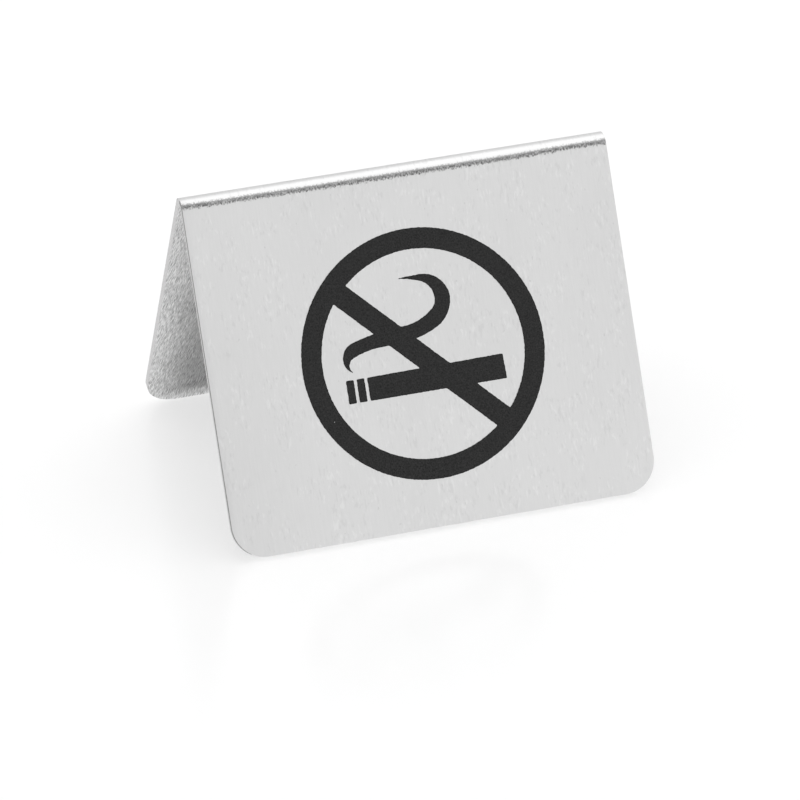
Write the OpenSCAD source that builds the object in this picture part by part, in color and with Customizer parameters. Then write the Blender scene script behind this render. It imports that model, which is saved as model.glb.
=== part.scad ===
/* [Sheet] */
// Width of the sheet, measured along its fold
sheet_w = 52; // [40:0.5:90]
// Thickness of the sheet
sheet_t = 1; // [0.6:0.1:2]
// Length of each leg's flat, from the end of the bend to the leg's foot
leg_len = 41.3; // [34:0.1:70]
// Angle between the two legs
opening_angle = 55.2; // [30:0.1:90]
// Radius of the bend on the inside of the fold
bend_r = 0.55; // [0.3:0.05:3]
// Radius of the rounded corners at the feet
corner_r = 4; // [1:0.1:8]

/* [Symbol] */
// Thickness of the layer of ink
ink_t = 0.05; // [0.02:0.01:0.2]
// Outer diameter of the ring
ring_d = 29.6; // [24:0.1:36]
// Width of the ring's band
ring_w = 2.45; // [1:0.05:4]
// How far the ring's centre lies below the middle of the leg's flat
symbol_drop = 0.25; // [-2:0.05:2]
// Width of the bar across the ring
bar_w = 2.6; // [1.5:0.05:4]
// Slope of the bar, falling to the right
bar_angle = 44.5; // [40:0.5:50]
// How far the bar's middle line passes below the ring's centre
bar_offset = 0.35; // [0:0.05:1]

/* [Cigarette] */
// Height of the cigarette at its lit end
cigarette_h = 2.75; // [1.5:0.05:4]
// Height of the cigarette at its mouth end
mouth_h = 2.95; // [1.5:0.05:4]
// Distance from the ring's centre down to the cigarette's lower edge
cigarette_drop = 4.45; // [3:0.05:7]
// Reach of the cigarette's body to the left of the ring's centre
body_left = 7.2; // [5:0.05:9]
// Reach of the cigarette's body to the right of the ring's centre
body_right = 9.5; // [5:0.05:10]
// How far the lower corner of the mouth end stands beyond the upper one
mouth_lean = 0.1; // [0:0.05:0.5]
// Width of each stripe of ash
ash_w = 0.92; // [0.4:0.02:1.5]
// Gap beside each stripe of ash
ash_gap = 0.38; // [0.2:0.02:0.8]
// Number of stripes of ash
ash_count = 2; // [1:1:3]

/* [Hidden] */

$fn = 128;
// Largest turn between two points of an arc in the smoke's outline
arc_step = 6;
leg_lean = opening_angle / 2;
// Angle by which each half of the bend passes the crown
crown_overlap = 10;
// Height of the bend's axis: the inner edges of both feet then stand on z = 0
bend_h = leg_len * cos(leg_lean) - bend_r * sin(leg_lean);
// The ring's centre in the leg's plane, below the end of the bend
symbol_y = -leg_len / 2 - symbol_drop;
ring_r = ring_d / 2;

// Outline of the curl of smoke, counter-clockwise from its upper tip and measured
// from the ring's centre. Each point is [x, y, rise]: the side that leads to the next
// point bulges outwards by rise, or inwards where rise is below zero. The two
// straight sides lie under the bar.
smoke_points = [
    [-1.7, 9.15, -0.06],
    [0.7, 8.55, -0.44],
    [2.35, 6.4, -0.16],
    [1.85, 5.1, -0.4],
    [-2.15, 3.55, 0],
    [-5.85, 3.15, 0.04],
    [-8.2, 2.6, 0.36],
    [-9.75, 0.9, 0.34],
    [-8.75, -0.9, -0.46],
    [-8.55, 0.75, -0.24],
    [-4.5, 1.55, 0],
    [-0.4, 1.95, 0.08],
    [1.85, 2.75, 0.7],
    [4.2, 6.5, 0.96],
    [0.45, 9.25, 0.04]
];

// Places its children on the front leg: x runs along the fold, y up the leg from
// zero at the end of the bend, and z outwards from zero on the bend's axis
module on_front_leg() {
    translate([0, 0, bend_h])
        rotate([90 - leg_lean, 0, 0])
            children();
}

// Flat of one leg, with its two corners rounded at the foot
module leg_outline() {
    translate([-sheet_w / 2, corner_r - leg_len])
        square([sheet_w, leg_len - corner_r]);
    translate([corner_r - sheet_w / 2, -leg_len])
        square([sheet_w - 2 * corner_r, leg_len]);
    for (side = [-1, 1])
        translate([side * (sheet_w / 2 - corner_r), corner_r - leg_len])
            circle(corner_r);
}

// Half of the sheet: the flat of one leg, and its share of the bend, swept a little
// past the crown so that the two halves run into each other
module half_sheet() {
    on_front_leg() {
        translate([0, 0, bend_r])
            linear_extrude(sheet_t)
                leg_outline();
        rotate([0, -90, 0])
            rotate_extrude(angle = 90 - leg_lean + crown_overlap)
                translate([bend_r, -sheet_w / 2])
                    square([sheet_t, sheet_w]);
    }
}

// One strip of sheet metal, folded once across its middle into a tent
module folded_sheet() {
    color([0.8, 0.8, 0.79])
        for (turn = [0, 180])
            rotate([0, 0, turn])
                half_sheet();
}

// Points of the arc from point a towards point b, which bulges by rise to the right
// of the way between them. Point b itself starts the next side.
function arc_points(a, b, rise) =
    let (
        half = norm(b - a) / 2,
        along = (b - a) / (2 * half),
        out = [along[1], -along[0]],
        radius = (half * half + rise * rise) / (2 * rise),
        centre = (a + b) / 2 + (rise - radius) * out,
        spread = 2 * atan(rise / half),
        steps = ceil(2 * abs(spread) / arc_step)
    )
    [
        for (i = [0:steps - 1])
            let (turn = spread * (2 * i / steps - 1))
            centre + radius * (sin(turn) * along + cos(turn) * out)
    ];

// Closed outline whose sides are chords or arcs, from points [x, y, rise] that run
// counter-clockwise
module arc_outline(points) {
    count = len(points);
    function place(i) = [points[i % count][0], points[i % count][1]];
    polygon([
        for (i = [0:count - 1])
            each points[i][2] == 0
                ? [place(i)]
                : arc_points(place(i), place(i + 1), points[i][2])
    ]);
}

// The ring and the bar that falls across it to the right
module ring_and_bar() {
    difference() {
        circle(ring_r);
        circle(ring_r - ring_w);
    }
    intersection() {
        circle(ring_r - ring_w / 2);
        rotate(-bar_angle)
            translate([-ring_r, -bar_offset - bar_w / 2])
                square([ring_d, bar_w]);
    }
}

// The cigarette: its body, and the stripes of ash at the lit end
module cigarette() {
    polygon([
        [-body_left, -cigarette_drop],
        [body_right + mouth_lean, -cigarette_drop],
        [body_right, mouth_h - cigarette_drop],
        [-body_left, cigarette_h - cigarette_drop]
    ]);
    for (i = [1:ash_count])
        translate([-body_left - i * (ash_gap + ash_w), -cigarette_drop])
            square([ash_w, cigarette_h]);
}

// The symbol, screen-printed on the front leg as one flat layer of ink
module printed_symbol() {
    color([0.2, 0.2, 0.2])
        on_front_leg()
            translate([0, symbol_y, bend_r + sheet_t])
                linear_extrude(ink_t) {
                    ring_and_bar();
                    cigarette();
                    arc_outline(smoke_points);
                }
}

folded_sheet();
printed_symbol();
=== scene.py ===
import math

import bmesh
import bpy
from mathutils import Matrix, Vector, noise


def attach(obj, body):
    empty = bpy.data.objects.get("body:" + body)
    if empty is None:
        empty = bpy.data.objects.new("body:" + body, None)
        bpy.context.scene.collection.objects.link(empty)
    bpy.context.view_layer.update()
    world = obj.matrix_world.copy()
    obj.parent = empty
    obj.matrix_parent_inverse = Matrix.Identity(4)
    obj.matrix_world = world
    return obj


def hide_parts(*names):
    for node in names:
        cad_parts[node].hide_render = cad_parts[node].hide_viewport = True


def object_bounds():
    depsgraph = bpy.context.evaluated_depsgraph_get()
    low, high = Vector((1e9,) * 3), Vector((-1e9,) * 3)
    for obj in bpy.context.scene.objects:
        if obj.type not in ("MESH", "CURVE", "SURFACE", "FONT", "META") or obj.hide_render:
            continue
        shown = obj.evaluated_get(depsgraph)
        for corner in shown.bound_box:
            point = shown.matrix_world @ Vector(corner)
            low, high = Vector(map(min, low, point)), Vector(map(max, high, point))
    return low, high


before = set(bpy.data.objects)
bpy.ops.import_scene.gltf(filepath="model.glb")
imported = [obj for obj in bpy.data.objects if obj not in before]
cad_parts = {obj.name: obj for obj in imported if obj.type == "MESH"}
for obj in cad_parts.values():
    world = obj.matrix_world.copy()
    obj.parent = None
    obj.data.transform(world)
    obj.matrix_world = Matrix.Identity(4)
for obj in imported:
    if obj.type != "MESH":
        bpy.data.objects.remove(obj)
cad_low, cad_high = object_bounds()
millimetre = 0.001

# The camera stands in front of the sign, to its left and above it, and looks down on the
# printed leg through a long lens. The picture is taken as square.
camera_azimuth = math.radians(-17.272)
camera_elevation = math.radians(29.672)
camera_roll = math.radians(-0.83)
camera_distance = 0.71995
camera_target = Vector((-1.329, -5.752, 9.666)) * millimetre
sensor_width = 36
lens_length = 273.34
nearest_seen = 0.01
farthest_seen = 20

camera_back = Vector((
    math.sin(camera_azimuth) * math.cos(camera_elevation),
    -math.cos(camera_azimuth) * math.cos(camera_elevation),
    math.sin(camera_elevation),
))
level_right = Vector((math.cos(camera_azimuth), math.sin(camera_azimuth), 0))
level_up = camera_back.cross(level_right)
camera_right = math.cos(camera_roll) * level_right + math.sin(camera_roll) * level_up
camera_up = camera_back.cross(camera_right)
camera_data = bpy.data.cameras.new("camera")
camera_data.sensor_width = sensor_width
camera_data.lens = lens_length
camera_data.clip_start = nearest_seen
camera_data.clip_end = farthest_seen
camera = bpy.data.objects.new("camera", camera_data)
camera.matrix_world = Matrix.Translation(camera_target + camera_back * camera_distance) @ Matrix(
    (camera_right, camera_up, camera_back)).transposed().to_4x4()
bpy.context.scene.collection.objects.link(camera)
bpy.context.scene.camera = camera
bpy.context.scene.view_settings.view_transform = "Standard"


# A light tent stands round the sign. Its cloth is white all round, and one large soft lamp
# shines down through its roof, from the right and a little behind the fold.
class Wire:
    """A socket of a node tree that takes part in sums, here and in every material below."""

    def __init__(self, tree, socket=None):
        self.tree = tree
        self.socket = socket

    def fill(self, node, sockets):
        for name, value in sockets.items():
            if isinstance(value, Wire):
                self.tree.links.new(value.socket, node.inputs[name])
            else:
                node.inputs[name].default_value = value

    def node(self, kind, settings=None, sockets=None, out=0):
        made = self.tree.nodes.new("ShaderNode" + kind)
        for name, value in (settings or {}).items():
            setattr(made, name, value)
        self.fill(made, sockets or {})
        return Wire(self.tree, made.outputs[out])

    def math(self, operation, *terms):
        return self.node("Math", {"operation": operation}, dict(enumerate(terms)))

    def __add__(self, other):
        return self.math("ADD", self, other)

    __radd__ = __add__

    def __sub__(self, other):
        return self.math("SUBTRACT", self, other)

    def __rsub__(self, other):
        return self.math("SUBTRACT", other, self)

    def __mul__(self, other):
        return self.math("MULTIPLY", self, other)

    __rmul__ = __mul__

    def __abs__(self):
        return self.math("ABSOLUTE", self)

    def above(self, low, high):
        """0 below low, 1 above high and a smooth step between."""
        step = {"interpolation_type": "SMOOTHSTEP"}
        return self.node("MapRange", step, {"Value": self, "From Min": low, "From Max": high})

    def in_view(self):
        """1 for what the camera sees, also by reflection or through glass, and 0 for the rest."""
        rays = ("Is Camera Ray", "Is Glossy Ray", "Is Transmission Ray")
        seen, mirrored, through = (self.node("LightPath", out=ray) for ray in rays)
        return self.math("MINIMUM", seen + mirrored + through, 1)


tent_level = 0.88
lamp_level = 0.6
lamp_half_width = math.radians(30)
lamp_elevation = math.radians(72)
lamp_azimuth = math.radians(60)

world = bpy.data.worlds.new("light_tent")
world.use_nodes = True
bpy.context.scene.world = world
cloth = Wire(world.node_tree)
cloth.fill(world.node_tree.nodes["Background"], {
    "Color": tent_level + (1 - tent_level) * cloth.in_view(),
    "Strength": 1,
})

# this energy makes the lamp's face as bright as lamp_level
lamp_data = bpy.data.lights.new("roof_lamp", "SUN")
lamp_data.energy = lamp_level * math.pi * math.sin(lamp_half_width) ** 2
lamp_data.angle = 2 * lamp_half_width
lamp = bpy.data.objects.new("roof_lamp", lamp_data)
lamp_direction = Vector((
    math.sin(lamp_azimuth) * math.cos(lamp_elevation),
    math.cos(lamp_azimuth) * math.cos(lamp_elevation),
    math.sin(lamp_elevation),
))
lamp.rotation_euler = lamp_direction.to_track_quat("Z", "Y").to_euler()
bpy.context.scene.collection.objects.link(lamp)

# The sign stands on a pale board, lit up to white. A faint gloss mirrors the foot of the
# front leg, and light that seeps into the board softens the sign's shadow.
board_half_width = 4
board_squares = 8
board_tone = 0.385
board_white = 0.615
board_roughness = 0.2
board_gloss = 0.38
board_depth = 2 * millimetre

board_mesh = bpy.data.meshes.new("pale_board")
board_shape = bmesh.new()
bmesh.ops.create_grid(
    board_shape, x_segments=board_squares, y_segments=board_squares, size=board_half_width)
board_shape.to_mesh(board_mesh)
board_shape.free()
board = bpy.data.objects.new("pale_board", board_mesh)
bpy.context.scene.collection.objects.link(board)
board_paper = bpy.data.materials.new("pale_board")
board_paper.use_nodes = True
paper = Wire(board_paper.node_tree)
paper.fill(board_paper.node_tree.nodes["Principled BSDF"], {
    "Base Color": (board_tone, board_tone, board_tone, 1),
    "Roughness": board_roughness,
    "Specular IOR Level": board_gloss,
    "Subsurface Weight": 1,
    "Subsurface Radius": (1, 1, 1),
    "Subsurface Scale": board_depth,
    "Emission Color": board_white * paper.in_view(),
    "Emission Strength": 1,
})
board_mesh.materials.append(board_paper)

# The sheet is one strip of stainless steel, 1 mm thick. It was brushed along its length,
# sheared out with rounded corners, which rolled its outer edge over a little and left the
# inner one sharp, and then folded across its middle.
sheet_width = cad_high.x - cad_low.x
sheet_thickness = 1 * millimetre
leg_length = 41.3 * millimetre
leg_lean = math.radians(27.6)
bend_inner_radius = 0.55 * millimetre
corner_radius = 4 * millimetre
rolled_edge = 0.04 * millimetre
smooth_from = 0.1 * millimetre
torn_from = 0.56 * millimetre
sharp_edge = 0.03 * millimetre
foot_turn = math.radians(60)
edge_steps = 3
corner_steps = 14
bend_steps = 40

bend_radius = bend_inner_radius + sheet_thickness
bend_height = cad_high.z - bend_radius
bend_half_turn = math.pi / 2 - leg_lean
bend_half_length = bend_radius * bend_half_turn
strip_half_length = bend_half_length + leg_length


def fold(x, along, depth):
    """Takes a place on the flat strip to the folded one. along is measured on the outer face
    from the crown, towards the back leg, and depth goes in from that face."""
    turn = max(-bend_half_turn, min(bend_half_turn, along / bend_radius))
    past = along - turn * bend_radius
    reach = bend_radius - depth
    return Vector((
        x,
        reach * math.sin(turn) + past * math.cos(turn),
        bend_height + reach * math.cos(turn) - abs(past) * math.sin(abs(turn)),
    ))


# half of the strip's outline, from the front foot to the back foot: each place on the
# flat strip, and the direction out of the strip there
half_outline = []
for end in (-1, 1):
    centre = Vector((sheet_width / 2 - corner_radius, end * (strip_half_length - corner_radius)))
    corner = []
    for i in range(corner_steps + 1):
        angle = math.pi / 2 * i / corner_steps
        outward = Vector((math.cos(angle), end * math.sin(angle)))
        corner.append((centre + corner_radius * outward, outward))
    if end < 0:
        half_outline += corner[::-1]
        for i in range(bend_steps + 1):
            along = bend_half_length * (2 * i / bend_steps - 1)
            half_outline.append((Vector((sheet_width / 2, along)), Vector((1, 0))))
    else:
        half_outline += corner

# the edge in section, from the outer face round to the inner one: how far each point
# stands back from the cut, and how deep it lies
edge_section = []
for i in range(edge_steps + 1):
    angle = math.pi / 2 * i / edge_steps
    back = rolled_edge * (1 - math.sin(angle))
    edge_section.append((back, rolled_edge * (1 - math.cos(angle))))
edge_section += [(0, smooth_from), (0, torn_from)]
for i in range(edge_steps + 1):
    angle = math.pi / 2 * i / edge_steps
    back = sharp_edge * (1 - math.cos(angle))
    edge_section.append((back, sheet_thickness - sharp_edge * (1 - math.sin(angle))))

sheet_shape = bmesh.new()
sides = []
for side in (-1, 1):
    rings = []
    for place, outward in half_outline:
        ring = []
        for back, depth in edge_section:
            flat = place - back * outward
            ring.append(sheet_shape.verts.new(fold(side * flat.x, flat.y, depth)))
        rings.append(ring)
    sides.append(rings)
left, right = sides

# the finish of each strip of the edge: the cut shows its smooth part, dark with painted shade,
# on the front leg only, and the feet are painted bright
outer_slot, inner_slot, shaded_smooth_slot, torn_slot, foot_slot = range(5)
last = len(edge_section) - 1
front_side = [outer_slot] * (edge_steps + 1) + [shaded_smooth_slot] + [torn_slot] * (edge_steps + 1)
back_side = [outer_slot] * (edge_steps + 1) + [torn_slot] * (edge_steps + 2)
foot_side = [foot_slot] * last
for i in range(len(half_outline) - 1):
    outer_face = (left[i][0], right[i][0], right[i + 1][0], left[i + 1][0])
    inner_face = (left[i][last], left[i + 1][last], right[i + 1][last], right[i][last])
    sheet_shape.faces.new(outer_face).material_index = outer_slot
    sheet_shape.faces.new(inner_face).material_index = inner_slot
    place, outward = half_outline[i]
    if outward.x < math.cos(foot_turn):
        slots = foot_side
    else:
        slots = front_side if place.y < 0 else back_side
    for k, slot in enumerate(slots):
        for rings in sides:
            piece = (rings[i][k], rings[i + 1][k], rings[i + 1][k + 1], rings[i][k + 1])
            sheet_shape.faces.new(piece).material_index = slot
for i in (0, len(half_outline) - 1):
    for k, slot in enumerate(foot_side):
        foot = (left[i][k], left[i][k + 1], right[i][k + 1], right[i][k])
        sheet_shape.faces.new(foot).material_index = slot
for face in sheet_shape.faces:
    face.smooth = True
bmesh.ops.recalc_face_normals(sheet_shape, faces=sheet_shape.faces)
sheet_mesh = bpy.data.meshes.new("brushed_sheet")
sheet_shape.to_mesh(sheet_mesh)
sheet_shape.free()
sheet = bpy.data.objects.new("brushed_sheet", sheet_mesh)
bpy.context.scene.collection.objects.link(sheet)
sheet.modifiers.new("flat_faces", "WEIGHTED_NORMAL").weight = 100

# every steel finish is built from strokes, and all of them dim a little at a grazing angle
grazing_tint = 0.8
noise_middle = 0.5


def strokes(shade, width, length, detail=2, slant=0):
    """Noise about 0, in strokes of this width across the strip and length along it, in mm."""
    scale = Vector((1 / width, 1 / length, 1 / length)) / millimetre
    place = shade.node("TexCoord", out="Object")
    place = shade.node("VectorRotate", {"rotation_type": "Y_AXIS"}, {"Vector": place, "Angle": slant})
    place = shade.node("VectorMath", {"operation": "MULTIPLY"}, {0: place, 1: scale})
    speckle = shade.node("TexNoise", sockets={"Vector": place, "Scale": 1, "Detail": detail})
    return speckle - noise_middle


def across_and_height(shade):
    """How far a point lies to the right of the middle, and its height, both in mm."""
    place = shade.node("TexCoord", out="Object")
    across, height = (shade.node("SeparateXYZ", sockets={0: place}, out=axis) for axis in "XZ")
    return across * (1 / millimetre), height * (1 / millimetre)


def steel_face(name, shade_of, relief_depth):
    """Adds a steel material to the sheet. shade_of gives its tone, polish and relief."""
    material = bpy.data.materials.new(name)
    material.use_nodes = True
    shade = Wire(material.node_tree)
    tone, polish, relief = shade_of(shade)
    bump = {"Height": relief, "Strength": 1, "Distance": relief_depth}
    shade.fill(material.node_tree.nodes["Principled BSDF"], {
        "Base Color": tone,
        "Metallic": 1,
        "Roughness": polish,
        "Specular Tint": (grazing_tint, grazing_tint, grazing_tint, 1),
        "Normal": shade.node("Bump", sockets=bump),
    })
    sheet_mesh.materials.append(material)


# Outer faces: fine strokes down both legs with a few stray marks and specks, and a dark band
# along both sides of the bend: partly the grain that the press raised on the stretched metal,
# partly a painted dark reflection.
outer_tone = 0.695
outer_polish = 0.36
outer_relief = 0.015 * millimetre
polish_swing = 0.1
fine_contrast = 0.08
cloud_contrast = 0.06
mark_contrast = 0.06
patch_step = (-0.08, 0.06)
light_step = (-0.18, -0.08)
dark_step = (0.08, 0.18)
speck_contrast = 0.11
speck_step = (0.32, 0.38)

# the dark band of grain and painted reflection lies between two heights, in mm, which sway a
# little along the fold. Both its edges are ragged with grit, and from just below it up the
# steel carries a little painted shade
grain_end = math.radians(49)
grain_bottom = (bend_height + bend_radius * math.sin(leg_lean)) / millimetre
grain_top = (bend_height + bend_radius * math.sin(grain_end)) / millimetre
grain_bottom_step = (grain_bottom - 0.13, grain_bottom + 0.12)
grain_top_step = (grain_top - 0.13, grain_top + 0.07)
dark_band_depth = 0.585
grain_contrast = 1.3
grain_raggedness = 0.6
grain_drift = 0.15
fold_tilt = 0.0018
fold_bow = 0.00016
painted_fold_shade = 0.03
painted_fold_shade_width = 0.4

# painted shade darkens the left border and the lower left corner of both legs a little, also in mm
left_side = -sheet_width / 2 / millimetre
painted_border_shade = 0.045
border_width = 0.9
painted_corner_shade = 0.025
corner_width = 14
corner_height_step = (18, 34)


def outer_shade(shade):
    across, height = across_and_height(shade)
    height = height + fold_tilt * across - fold_bow * across * across
    fine = strokes(shade, width=0.22, length=2.6)
    clouds = strokes(shade, width=9, length=14, detail=1)
    tone = outer_tone * (1 + fine_contrast * fine + cloud_contrast * clouds)

    marks = strokes(shade, width=0.3, length=0.9, detail=1)
    light_or_dark = 1 - marks.above(*light_step) - marks.above(*dark_step)
    patches = strokes(shade, width=2.2, length=3, detail=1).above(*patch_step)
    tone = tone * (1 + mark_contrast * patches * light_or_dark)
    specks = strokes(shade, width=0.35, length=0.6, detail=0).above(*speck_step)
    tone = tone * (1 - speck_contrast * specks)

    grit = strokes(shade, width=0.2, length=0.26)
    drift = strokes(shade, width=9, length=400, detail=1)
    ragged = height + grain_raggedness * grit + grain_drift * drift
    dark_band = ragged.above(*grain_bottom_step) * (1 - ragged.above(*grain_top_step))
    # the dark band: the grain's grit and a painted dark reflection
    tone = tone * (1 - dark_band * (dark_band_depth + grain_contrast * grit))
    # painted shade from just below the band up over the crown
    tone = tone * (1 - painted_fold_shade * height.above(grain_bottom - painted_fold_shade_width, grain_bottom))

    # painted shade along the left border
    border_shade_mask = 1 - across.above(left_side, left_side + border_width)
    tone = tone * (1 - painted_border_shade * border_shade_mask)
    # painted shade in the lower left corner
    corner = 1 - across.above(left_side, left_side + corner_width)
    tone = tone * (1 - painted_corner_shade * corner * (1 - height.above(*corner_height_step)))
    return tone, outer_polish + polish_swing * (fine + dark_band), fine + grit


steel_face("outer_faces", outer_shade, outer_relief)

# Inner faces: brushed coarsely and at a slant, and darkened with painted shade away from the
# open sides, deep inside the fold. The painted shade fades with height.
inner_tone = 0.81
inner_polish = 0.35
inner_relief = 0.04 * millimetre
inner_slant = math.radians(-10)
inner_polish_swing = 0.2
coarse_contrast = 2.6
scuff_contrast = 0.25
painted_inner_shade = 0.5928
painted_inner_shade_fade = 0.00572
shade_from_side = (-1.5, 6)
shade_from_foot = (-0.5, 2.5)


def inner_shade(shade):
    across, height = across_and_height(shade)
    coarse = strokes(shade, width=0.07, length=0.8, slant=inner_slant)
    scuffs = strokes(shade, width=2, length=4, detail=1)
    from_side = sheet_width / 2 / millimetre - abs(across)
    # painted shade, deepest inside the fold away from the open sides and the feet
    shaded_inside = from_side.above(*shade_from_side) * height.above(*shade_from_foot)
    tone = inner_tone * (1 - shaded_inside * (painted_inner_shade - painted_inner_shade_fade * height))
    tone = tone * (1 + coarse_contrast * coarse + scuff_contrast * scuffs)
    return tone, inner_polish + inner_polish_swing * coarse, coarse


steel_face("inner_faces", inner_shade, inner_relief)

# Edges: the shear rubbed the outer half of the cut smooth and tore the rest. Painted shade
# darkens the smooth part, and the feet are painted bright to light the shadow under them.
edge_polish = 0.42
edge_polish_swing = 0.2
edge_relief = 0.02 * millimetre


def edge_shade(tone, contrast, width, length):
    def shade_of(shade):
        worn = strokes(shade, width, length)
        return tone * (1 + contrast * worn), edge_polish + edge_polish_swing * worn, worn
    return shade_of


# the front leg's smooth cut, dark with painted shade
shaded_smooth_finish = edge_shade(tone=0.25, contrast=0.9, width=0.8, length=1.2)
torn_shade = edge_shade(tone=0.66, contrast=0.6, width=0.3, length=0.15)
# the feet's cut faces, painted bright to throw light into the shadow under them
bright_foot_finish = edge_shade(tone=0.84, contrast=0.5, width=1.5, length=0.6)
steel_face("shaded_smooth_cut", shaded_smooth_finish, edge_relief)
steel_face("torn_cut", torn_shade, edge_relief)
steel_face("painted_bright_foot", bright_foot_finish, edge_relief)

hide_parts("folded_sheet")
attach(sheet, "root")

# The symbol is one layer of matt black ink, pressed through a screen on to the front leg.
# Its outline is the solid's own, with the slight ripple and the soft corners of ink. It
# dried darker in a bead along the outline, and one pinhole stayed open in the ring.
ink_step = 0.07 * millimetre
ink_ripple = 0.04 * millimetre
ripple_length = 0.3 * millimetre
ripple_seed = 1
ink_softening = 3
ink_bead = 0.08 * millimetre
pinhole_place = Vector((-11.9, -27.1)) * millimetre
pinhole_radius = 0.05 * millimetre
pinhole_steps = 10
weld_distance = 0.0001 * millimetre
wall_slope = 0.5

leg_out = Vector((0, -math.cos(leg_lean), math.sin(leg_lean)))
leg_up = Vector((0, math.sin(leg_lean), math.cos(leg_lean)))
leg_place = Matrix.Translation((0, 0, bend_height)) @ Matrix(
    ((1, 0, 0), leg_up, leg_out)).transposed().to_4x4()

# the outlines of the solid's top, each as its corners in order along the rim
solid = bmesh.new()
solid.from_mesh(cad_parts["printed_symbol"].data)
solid.transform(leg_place.inverted())
bmesh.ops.remove_doubles(solid, verts=solid.verts, dist=weld_distance)
ink_top = max(v.co.z for v in solid.verts)
ink_base = bend_radius
ink_middle = (ink_top + ink_base) / 2
top_faces = [f for f in solid.faces if all(v.co.z > ink_middle for v in f.verts)]
on_top = set(top_faces)
next_on_rim = {}
for face in top_faces:
    for loop in face.loops:
        if not any(f in on_top for f in loop.edge.link_faces if f is not face):
            next_on_rim[loop.vert] = loop.link_loop_next.vert
outlines = []
while next_on_rim:
    start, vertex = next_on_rim.popitem()
    corners = [start.co.xy]
    while vertex is not start:
        corners.append(vertex.co.xy)
        vertex = next_on_rim.pop(vertex)
    outlines.append(corners)
solid.free()

symbol_shape = bmesh.new()


def add_outline(points):
    drawn = [symbol_shape.verts.new((p.x, p.y, ink_base)) for p in points]
    for a, b in zip(drawn, drawn[1:] + drawn[:1]):
        symbol_shape.edges.new((a, b))


noise.seed_set(ripple_seed)
for corners in outlines:
    points = []
    for a, b in zip(corners, corners[1:] + corners[:1]):
        steps = max(1, round((b - a).length / ink_step))
        points += [a.lerp(b, i / steps) for i in range(steps)]
    for _ in range(ink_softening):
        before = points[-1:] + points[:-1]
        after = points[1:] + points[:1]
        points = [(a + b + c) / 3 for a, b, c in zip(before, points, after)]
    add_outline([p + ink_ripple * noise.noise_vector(p.to_3d() / ripple_length).xy for p in points])
pinhole = []
for i in range(pinhole_steps):
    angle = 2 * math.pi * i / pinhole_steps
    pinhole.append(pinhole_place + pinhole_radius * Vector((math.cos(angle), math.sin(angle))))
add_outline(pinhole)

ink_slot, bead_slot = range(2)
bmesh.ops.triangle_fill(symbol_shape, edges=symbol_shape.edges, use_beauty=True)
raised = bmesh.ops.extrude_face_region(symbol_shape, geom=symbol_shape.faces[:])["geom"]
raised_points = [g for g in raised if isinstance(g, bmesh.types.BMVert)]
raised_faces = [g for g in raised if isinstance(g, bmesh.types.BMFace)]
bmesh.ops.translate(symbol_shape, verts=raised_points, vec=(0, 0, ink_top - ink_base))
bead = bmesh.ops.inset_region(
    symbol_shape, faces=raised_faces, thickness=ink_bead, use_boundary=True)
for face in symbol_shape.faces:
    face.material_index = bead_slot if abs(face.normal.z) < wall_slope else ink_slot
for face in bead["faces"]:
    face.material_index = bead_slot
symbol_shape.transform(leg_place)
bmesh.ops.recalc_face_normals(symbol_shape, faces=symbol_shape.faces)
symbol_mesh = bpy.data.meshes.new("black_print")
symbol_shape.to_mesh(symbol_mesh)
symbol_shape.free()
symbol = bpy.data.objects.new("black_print", symbol_mesh)
bpy.context.scene.collection.objects.link(symbol)

# Black ink: nearly matt, with the fine speckle of the screen and of the steel under it.
ink_tones = {"black_ink": 0.019, "ink_bead": 0.008}
ink_roughness = 0.6
ink_roughness_swing = 0.3
ink_gloss = 0.25
ink_relief = 0.01 * millimetre
speckle_contrast = 3.3

for name, black in ink_tones.items():
    ink_material = bpy.data.materials.new(name)
    ink_material.use_nodes = True
    ink = Wire(ink_material.node_tree)
    speckle = strokes(ink, width=0.15, length=0.17, detail=1)
    bump = {"Height": speckle, "Strength": 1, "Distance": ink_relief}
    ink.fill(ink_material.node_tree.nodes["Principled BSDF"], {
        "Base Color": black * (1 + speckle_contrast * speckle),
        "Roughness": ink_roughness + ink_roughness_swing * speckle,
        "Specular IOR Level": ink_gloss,
        "Normal": ink.node("Bump", sockets=bump),
    })
    symbol_mesh.materials.append(ink_material)

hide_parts("printed_symbol")
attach(symbol, "root")
